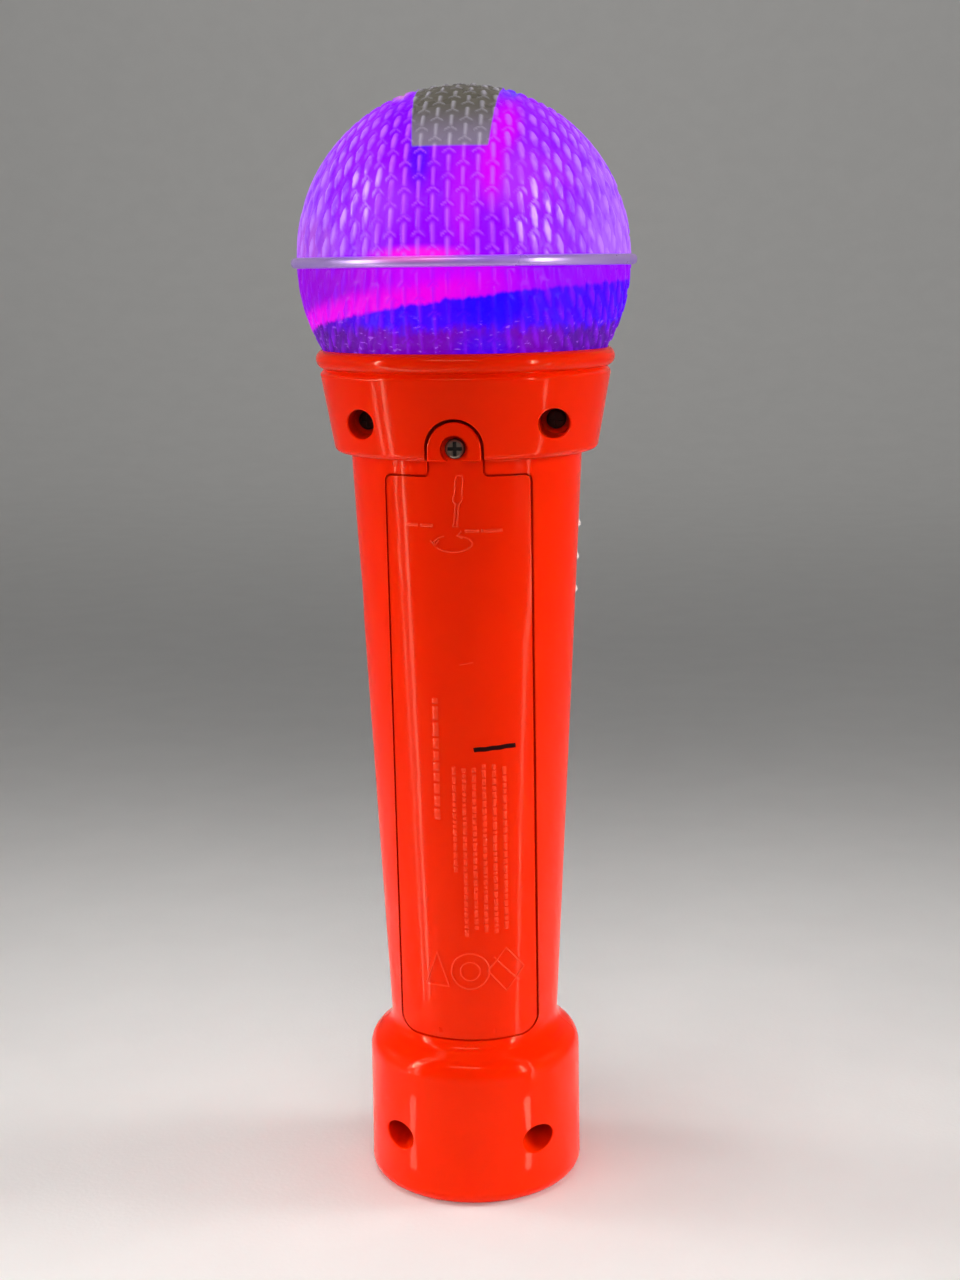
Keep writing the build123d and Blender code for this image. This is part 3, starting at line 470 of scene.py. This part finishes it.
def bowl_material():
    """Magenta band over deep blue, with a dark violet foot."""
    material, tree, shader = start("lit_bowl")
    x, y, z, where = place(tree)
    relief = node(tree, "ShaderNodeAttribute", attribute_name="relief").outputs["Fac"]
    streak = streaks(tree, x, y, z, 420, 0.25)
    wander = calc(tree, "MULTIPLY", calc(tree, "SUBTRACT", streak, 0.5), 0.0022)
    height = calc(tree, "ADD", z, wander)
    rise = calc(tree, "POWER", step_line(tree, x, -0.037, 0.036), 0.3)
    edge = calc(tree, "ADD", 0.1905, calc(tree, "MULTIPLY", rise, 0.0178))
    slope = calc(tree, "SUBTRACT", height, edge)
    glow = mix(tree, step(tree, x, -0.030, -0.012), (0.09, 0.0, 0.48), (0.035, 0.0, 1.0))
    glow = mix(tree, blob(tree, x, z, 8.5, 204, 11, 7.5), glow, (0.0, 0.0, 1.0))
    foot = mix(tree, step(tree, x, -0.028, -0.012), (0.075, 0.006, 0.22), (0.15, 0.0, 0.40))
    foot = mix(tree, blob(tree, x, z, 7, 195, 9, 6), foot, (0.06, 0.0, 0.75))
    foot = mix(tree, step(tree, x, 0.016, 0.026), foot, (0.07, 0.004, 0.28))
    ragged = calc(tree, "ADD", height, calc(tree, "MULTIPLY", wander, 2.0))
    glow = mix(tree, step(tree, ragged, 0.2010, 0.1975), glow, foot)
    band = mix(tree, step(tree, x, -0.004, 0.024), (0.86, 0.0, 0.80), (0.30, 0.0, 1.0))
    upper = mix(tree, step(tree, x, -0.030, -0.004), (0.30, 0.0, 0.62), (0.60, 0.0, 0.96))
    upper = mix(tree, step(tree, x, 0.006, 0.020), upper, (0.26, 0.0, 0.95))
    band = mix(tree, step(tree, slope, 0.0022, 0.006), band, upper)
    glow = mix(tree, step(tree, slope, -0.0003, 0.0007), glow, band)
    ribs = calc(tree, "MULTIPLY", relief, step(tree, streak, 0.3, 0.65, 0.10, 0.55))
    calm = calc(tree, "SUBTRACT", 1.0, calc(tree, "MULTIPLY", blob(tree, x, z, 8.5, 204, 12, 8), 0.8))
    glow = mix(tree, calc(tree, "MULTIPLY", ribs, calm), glow, (0.30, 0.008, 0.95))
    # Painted glints: short pale dashes sparkling on the upper bowl.
    dashes = streaks(tree, calc(tree, "MULTIPLY", x, 0.35), y, z, 1100, 1.0)
    glint_dashes = calc(tree, "MULTIPLY", step(tree, dashes, 0.62, 0.70), step(tree, z, 0.2030, 0.1990))
    glow = mix(tree, calc(tree, "MULTIPLY", glint_dashes, 0.55), glow, (0.50, 0.14, 0.95))
    shader.inputs["Base Color"].default_value = (0.03, 0.0, 0.10, 1)
    finish_head(tree, shader, where, glow, 1.0)
    return material


def ring_material():
    """Silver-lilac ring that picks up the head's glow, violet in the middle and pink at the left."""
    material, tree, shader = start("silver_ring")
    x, _, z, where = place(tree)
    shade = step(tree, noise(tree, where, 55, 4.0), 0.3, 0.7)
    feed(tree, mix(tree, shade, (0.40, 0.30, 0.56), (0.46, 0.36, 0.62)), shader.inputs["Base Color"])
    feed(tree, step(tree, noise(tree, where, 160, 5.0), 0.25, 0.75, 0.26, 0.40),
         shader.inputs["Roughness"])
    shader.inputs["Metallic"].default_value = 0.62
    middle = (RING_LOW + RING_HIGH) / 2
    # Painted light: the head's glow sits on the top half; the underside gets only a dim violet, a painted
    # shade.
    top = step(tree, z, middle - 0.5 * MM, middle + 0.6 * MM)
    glow = mix(tree, step(tree, calc(tree, "ABSOLUTE", x), 0.010, 0.030), (0.20, 0.0, 0.62),
               (0.12, 0.04, 0.22))
    glow = mix(tree, blob(tree, x, z, -8, 213, 13, 8), glow, (0.85, 0.03, 0.55))
    glow = mix(tree, top, (0.075, 0.0, 0.24), glow)
    feed(tree, glow, shader.inputs["Emission Color"])
    shader.inputs["Emission Strength"].default_value = 0.62
    bump(tree, shader, noise(tree, where, 700, 2.0), 0.00002)
    return material


def screw_material(name, screw, colour):
    """Dark plated steel whose cross recess is painted near black, a painted shade."""
    material, tree, shader = start(name)
    _, y, _, where = place(tree)
    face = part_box(screw)[0].y
    # Painted shade: below the head's face the cross recess turns near black and not metallic.
    recess_shade = step_line(tree, y, face + 0.10 * MM, face + 0.25 * MM)
    worn = step(tree, noise(tree, where, 900, 4.0), 0.35, 0.7)
    bare = mix(tree, worn, tuple(0.8 * c for c in colour), colour)
    feed(tree, mix(tree, recess_shade, bare, (0.016, 0.011, 0.009)), shader.inputs["Base Color"])
    feed(tree, step(tree, recess_shade, 0.0, 1.0, 0.9, 0.1), shader.inputs["Metallic"])
    feed(tree, step(tree, worn, 0.0, 1.0, 0.30, 0.42), shader.inputs["Roughness"])
    bump(tree, shader, noise(tree, where, 1400, 2.0), 0.00004)
    return material


def cell_material(name):
    """Dry cell: steel ends, dark jacket and a copper band at the positive end."""
    material, tree, shader = start(name + "_jacket")
    _, _, z, where = place(tree)
    low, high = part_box(name)
    body_top = high.z - 1.0 * MM
    band = step_line(tree, z, body_top - 13.0 * MM, body_top - 12.9 * MM)
    scuff = step(tree, noise(tree, where, 120, 5.0), 0.35, 0.7)
    colour = mix(tree, band, mix(tree, scuff, (0.012, 0.013, 0.016), (0.03, 0.03, 0.034)),
                 mix(tree, scuff, (0.42, 0.17, 0.06), (0.50, 0.21, 0.08)))
    stripe = calc(tree, "MULTIPLY", step_line(tree, z, body_top - 14.2 * MM, body_top - 14.1 * MM),
                  step_line(tree, z, body_top - 12.9 * MM, body_top - 13.0 * MM))
    colour = mix(tree, stripe, colour, (0.60, 0.60, 0.58))
    steel = calc(tree, "ADD", step_line(tree, z, body_top - 0.5 * MM, body_top - 0.4 * MM),
                 step_line(tree, z, low.z + 0.8 * MM, low.z + 0.7 * MM))
    feed(tree, mix(tree, steel, colour, (0.56, 0.55, 0.52)), shader.inputs["Base Color"])
    feed(tree, calc(tree, "MULTIPLY", steel, 0.95), shader.inputs["Metallic"])
    feed(tree, step(tree, scuff, 0.0, 1.0, 0.22, 0.34), shader.inputs["Roughness"])
    bump(tree, shader, noise(tree, where, 500, 2.0), 0.00001)
    return material


def board_material():
    """Green circuit board with tinned pads and faint copper tracks under the mask."""
    material, tree, shader = start("board_mask")
    where = place(tree)[3]
    tracks = node(tree, "ShaderNodeTexWave", wave_type="BANDS", bands_direction="DIAGONAL")
    tree.links.new(where, tracks.inputs["Vector"])
    tracks.inputs["Scale"].default_value = 160
    tracks.inputs["Distortion"].default_value = 9
    tracks.inputs["Detail Scale"].default_value = 0.6
    copper = step(tree, tracks.outputs["Fac"], 0.62, 0.72)
    colour = mix(tree, copper, (0.008, 0.085, 0.03), (0.03, 0.19, 0.06))
    pads = node(tree, "ShaderNodeTexVoronoi")
    tree.links.new(where, pads.inputs["Vector"])
    pads.inputs["Scale"].default_value = 210
    pads.inputs["Randomness"].default_value = 0.6
    tinned = step(tree, pads.outputs["Distance"], 0.17, 0.13)
    feed(tree, mix(tree, tinned, colour, (0.60, 0.60, 0.58)), shader.inputs["Base Color"])
    feed(tree, tinned, shader.inputs["Metallic"])
    shader.inputs["Roughness"].default_value = 0.32
    bump(tree, shader, calc(tree, "ADD", copper, tinned), 0.00004)
    return material


def coat(material, *names):
    """Gives CAD nodes a material."""
    for name in names:
        mesh = NODES[name].data
        mesh.materials.clear()
        mesh.materials.append(material)


def make_materials():
    """A finish for each CAD node."""
    red = plastic("red_shell_plastic", (0.86, 0.018, 0.0), 0.11, grain=0.000004, mottle=0.03,
                  specular=0.16, tint=(1.0, 0.72, 0.50), through=0.5)
    coat(red, "front_shell", "rear_shell", "battery_door")
    coat(ring_material(), "equator_ring")
    coat(plastic("silver_lilac", (0.36, 0.29, 0.50), 0.26, coat=0.2, metallic=0.55), "control_panel")
    coat(plastic("pale_stud", (0.85, 0.70, 0.68), 0.25), "trim_studs")
    coat(plastic("violet_button", (0.26, 0.06, 0.75), 0.2, coat=0.3), "play_button")
    coat(plastic("blue_button", (0.02, 0.10, 0.75), 0.2, coat=0.3), "song_button")
    coat(plastic("pink_button", (0.85, 0.04, 0.32), 0.2, coat=0.3), "sound_button")
    coat(plastic("black_slider", (0.02, 0.02, 0.022), 0.4),
         "power_slider", "slide_switch", "button_switches")
    coat(screw_material("dark_screw_steel", "door_screw", (0.30, 0.235, 0.19)), "door_screw")
    coat(plastic("black_screw_steel", (0.050, 0.034, 0.030), 0.45, metallic=0.6, grain=0.00004),
         "case_screws", "board_screws")
    coat(plastic("nickel_contact", (0.62, 0.61, 0.58), 0.25, metallic=1.0),
         "contact_springs", "contact_plates")
    for name in ("battery_left", "battery_right", "battery_lower"):
        coat(cell_material(name), name)
    coat(plastic("holder_black", (0.025, 0.025, 0.028), 0.5), "battery_holder")
    coat(board_material(), "main_board", "led_board")
    coat(plastic("epoxy_black", (0.01, 0.01, 0.01), 0.25), "sound_chip")
    coat(plastic("sleeve_blue", (0.015, 0.02, 0.10), 0.3), "capacitor")
    coat(plastic("mast_white", (0.80, 0.80, 0.80), 0.4), "led_mast")
    coat(plastic("shield_grey", (0.17, 0.17, 0.16), 0.6), "light_shield")
    coat(plastic("red_led_epoxy", (0.85, 0.05, 0.25), 0.15), "red_leds")
    coat(plastic("blue_led_epoxy", (0.05, 0.06, 0.9), 0.15), "blue_leds")
    coat(plastic("plated_steel", (0.35, 0.35, 0.36), 0.3, metallic=1.0),
         "speaker_frame", "speaker_magnet")
    coat(plastic("paper_cone", (0.02, 0.02, 0.02), 0.85, grain=0.0001), "speaker_cone")
    coat(plastic("lead_vinyl", (0.45, 0.02, 0.015), 0.35),
         "speaker_leads", "battery_leads", "led_leads")


# ---- Marks on the door --------------------------------------------------------------------------
DOOR_TAPER = 0.0472  # how much the door's radius grows for each millimetre up
DOOR_RADIUS = 19.5  # in millimetres, at the height below
DOOR_RADIUS_Z = 37.4


def on_door(x, z, lift):
    """A point over the door's curved face, from millimetres across and up."""
    radius = DOOR_RADIUS + DOOR_TAPER * (z - DOOR_RADIUS_Z) + lift
    return Vector((x, -math.sqrt(radius * radius - x * x), z)) * MM


def on_front(x, z, face):
    """A point over a flat front face at the given distance in front of the axis."""
    return Vector((x, face, z)) * MM


def ribbon(shape, points, width, height, surface, closed=False):
    """Adds a raised line with a rounded back to a bmesh, along points across and up a surface."""
    outline = [(-0.5, -0.08), (-0.38, 0.7 * height), (0.0, height), (0.38, 0.7 * height), (0.5, -0.08)]
    rows = []
    count = len(points)
    for index, (x, z) in enumerate(points):
        before = points[index - 1] if index or closed else points[index]
        after = points[(index + 1) % count] if index < count - 1 or closed else points[index]
        along = Vector((after[0] - before[0], after[1] - before[1])).normalized()
        rows.append([shape.verts.new(surface(x - along.y * width * side, z + along.x * width * side,
                                             lift))
                     for side, lift in outline])
    pairs = list(zip(rows, rows[1:])) + ([(rows[-1], rows[0])] if closed else [])
    for first, second in pairs:
        for a in range(len(outline)):
            b = (a + 1) % len(outline)
            shape.faces.new((first[a], first[b], second[b], second[a]))
    if not closed:
        shape.faces.new(rows[0][::-1])
        shape.faces.new(rows[-1])


def finished(shape, name, material, body):
    """Turns a bmesh into a smooth piece that rides on a body."""
    bmesh.ops.recalc_face_normals(shape, faces=shape.faces)
    mesh = bpy.data.meshes.new(name)
    shape.to_mesh(mesh)
    shape.free()
    mesh.shade_smooth()
    mesh.materials.append(material)
    piece = bpy.data.objects.new(name, mesh)
    bpy.context.scene.collection.objects.link(piece)
    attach(piece, body)
    return piece


def run(start_point, end_point, steps=8):
    """Evenly spaced points from one point to another."""
    (x0, z0), (x1, z1) = start_point, end_point
    return [(x0 + (x1 - x0) * t, z0 + (z1 - z0) * t) for t in np.linspace(0, 1, steps)]


def dense_loop(corners):
    """A closed outline with seven points along each side."""
    points = []
    for first, second in zip(corners, corners[1:] + corners[:1]):
        points += run(first, second, 7)[:-1]
    return points


def curve(x, z, reach_x, reach_z, first, last, steps=24):
    """Points on an ellipse, between two angles in degrees."""
    return [(x + reach_x * math.cos(a), z + reach_z * math.sin(a))
            for a in np.radians(np.linspace(first, last, steps))]


def make_pictogram(material):
    """Generic screwdriver over a double-ended turning arrow."""
    shape = bmesh.new()
    line, rise, lean = 0.42, 0.26, 0.10
    outline = [(-0.55, 168.4), (0.55, 168.4), (0.75, 167.6), (0.75, 164.4), (1.0, 163.6), (0.8, 162.7),
               (0.35, 162.4), (0.35, 158.2), (0.6, 157.4), (-0.6, 157.4), (-0.35, 158.2), (-0.35, 162.4),
               (-0.8, 162.7), (-1.0, 163.6), (-0.75, 164.4), (-0.75, 167.6)]
    ribbon(shape, [(x + lean * (z - 163) + 0.2, z) for x, z in outline], line, rise, on_door, closed=True)
    long_arc, short_arc = ((75, -150), (118, 190))
    for first, last in (long_arc, short_arc):
        ribbon(shape, curve(-0.9, 153.7, 4.1, 1.8, first, last), line, rise, on_door)
    right_head = [(0.9, 156.4), (0.0, 155.4), (1.2, 154.9)]
    left_head = [(-5.9, 154.4), (-4.9, 153.2), (-4.0, 154.5)]
    for head in (right_head, left_head):
        ribbon(shape, head, line, rise, on_door)
    return finished(shape, "door_pictogram", material, "door")


def make_plain_bars(material):
    """Plain dashes where a toy has its moulded print: no letters, only even strips."""
    shape = bmesh.new()
    for low, high, z in ((-11.2, -8.6, 157.6), (-8.0, -5.2, 157.6), (1.6, 4.6, 156.4), (5.2, 9.6, 156.4)):
        ribbon(shape, run((low, z), (high, z)), 0.8, 0.13, on_door)
    lengths = np.random.default_rng(7)
    columns = [(-5.7, 119.4, 92.0, 1.5, 2.4)]
    for index in range(6):
        top = 104.6 - lengths.uniform(0, 1.2)
        columns.append((-1.8 + 2.2 * index, top, 80.0 if index == 0 else 65.5, 0.95, 1.3))
    for x, z, foot, width, usual in columns:
        while z > foot:
            length = usual * lengths.uniform(0.55, 1.5)
            ribbon(shape, run((x, z), (x, z - length), 4), width, 0.12, on_door)
            z -= length + 0.22 * usual
    return finished(shape, "door_plain_bars", material, "door")


def make_plain_marks(material):
    """Plain triangle, double ring and crossed diamond at the door's foot, and a hairline scuff."""
    shape = bmesh.new()
    triangle = [(-6.6, 59.6), (-9.3, 51.6), (-3.9, 51.6)]
    diamond = [(9.0, 60.6), (13.0, 55.4), (9.0, 50.2), (5.0, 55.4)]
    for corners in (triangle, diamond):
        ribbon(shape, dense_loop(corners), 0.42, 0.18, on_door, closed=True)
    for reach in (4.3, 2.2):
        ribbon(shape, curve(1.0, 55.4, reach, reach, 0, 351, 40), 0.42, 0.18, on_door, closed=True)
    ribbon(shape, run((6.4, 58.6), (11.8, 52.2)), 0.4, 0.16, on_door)
    ribbon(shape, run((0.0, 127.0), (2.9, 127.5), 5), 0.28, 0.14, on_door)
    return finished(shape, "door_plain_marks", material, "door")


def make_ink_dash():
    """The short dark pen stroke across the door's right half."""
    shape = bmesh.new()
    stroke = [(x, 107.7 + 0.06 * (x - 2.8) + 0.05 * math.sin(2.1 * x))
              for x in np.linspace(2.7, 11.7, 26)]
    ribbon(shape, stroke, 1.15, 0.10, on_door)
    material = plastic("ink_black", (0.020, 0.001, 0.002), 0.6, grain=0.00001, mottle=0.4, specular=0.05)
    return finished(shape, "door_ink_dash", material, "door")


# ---- Coiled contact springs ---------------------------------------------------------------------
def make_springs(material):
    """Three conical coils of plated wire, each standing on its contact plate."""
    shape = bmesh.new()
    box_low, box_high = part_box("contact_springs")
    wire, turns, steps, round_steps = 0.35 * MM, 4.25, 150, 8
    tall, wide, narrowing = 3.7 * MM, 4.4 * MM, 2.0 * MM
    up = Vector((0, 0, 1))
    for name in ("battery_left", "battery_right", "battery_lower"):
        low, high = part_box(name)
        centre = Vector(((low.x + high.x) / 2, (box_low.y + box_high.y) / 2, 0))
        foot = low.z - tall + wire
        climb = tall - 2 * wire
        rows = []
        for t in np.linspace(0, 1, steps):
            angle = 2 * math.pi * turns * t
            out = Vector((math.cos(angle), math.sin(angle), 0))
            spot = centre + out * (wide - narrowing * t) + up * (foot + climb * t)
            rows.append([shape.verts.new(spot + wire * (out * math.cos(a) + up * math.sin(a)))
                         for a in np.arange(round_steps) / round_steps * 2 * math.pi])
        for first, second in zip(rows, rows[1:]):
            for a in range(round_steps):
                b = (a + 1) % round_steps
                shape.faces.new((first[a], first[b], second[b], second[a]))
        shape.faces.new(rows[0])
        shape.faces.new(rows[-1][::-1])
    piece = finished(shape, "spring_coils", material, "handle")
    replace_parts(piece, "contact_springs")
    return piece


# ---- Icons on the controls ----------------------------------------------------------------------
def make_icons():
    """Raised plain symbols on the buttons: a play triangle, a musical note and three bars."""
    white = plastic("icon_white", (0.86, 0.86, 0.88), 0.3)
    triangle = [([(1.6, 2.4), (-2.4, 0.0), (1.6, -2.4)], True)]
    note = [(curve(0.9, -1.5, 0.75, 0.6, 0, 330, 12), True),
            ([(0.1, -1.3), (0.1, 0.5), (0.1, 2.3), (-0.6, 1.5), (-1.5, 0.9)], False)]
    bars = [(run((x, -tall), (x, tall)), False) for x, tall in ((-1.6, 0.8), (0.0, 2.0), (1.6, 1.3))]
    for button, drawings in (("play_button", triangle), ("song_button", note), ("sound_button", bars)):
        low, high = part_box(button)
        face = high.y / MM
        centre_z = (low.z + high.z) / 2 / MM
        shape = bmesh.new()
        for points, closed in drawings:
            dense = dense_loop(points) if closed else points
            ribbon(shape, [(x, z + centre_z) for x, z in dense], 0.7, 0.25,
                   lambda x, z, lift: on_front(x, z, face + lift), closed)
        finished(shape, button + "_icon", white, button)


make_camera()
make_studio()
make_materials()
# The marks' red is lighter than the shell's: a painted highlight for the light their raised lines catch.
RED = plastic("moulded_mark_red", (0.90, 0.036, 0.007), 0.2, specular=0.3, tint=(1.0, 0.8, 0.6))
make_pictogram(RED)
make_plain_bars(RED)
make_plain_marks(RED)
make_ink_dash()
make_springs(NODES["contact_plates"].data.materials[0])
make_icons()

dome = make_dome()
dome.data.materials.append(dome_material())
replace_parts(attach(dome, "handle"), "upper_dome")

bowl = make_bowl()
bowl.data.materials.append(bowl_material())
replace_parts(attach(bowl, "handle"), "lower_bowl")
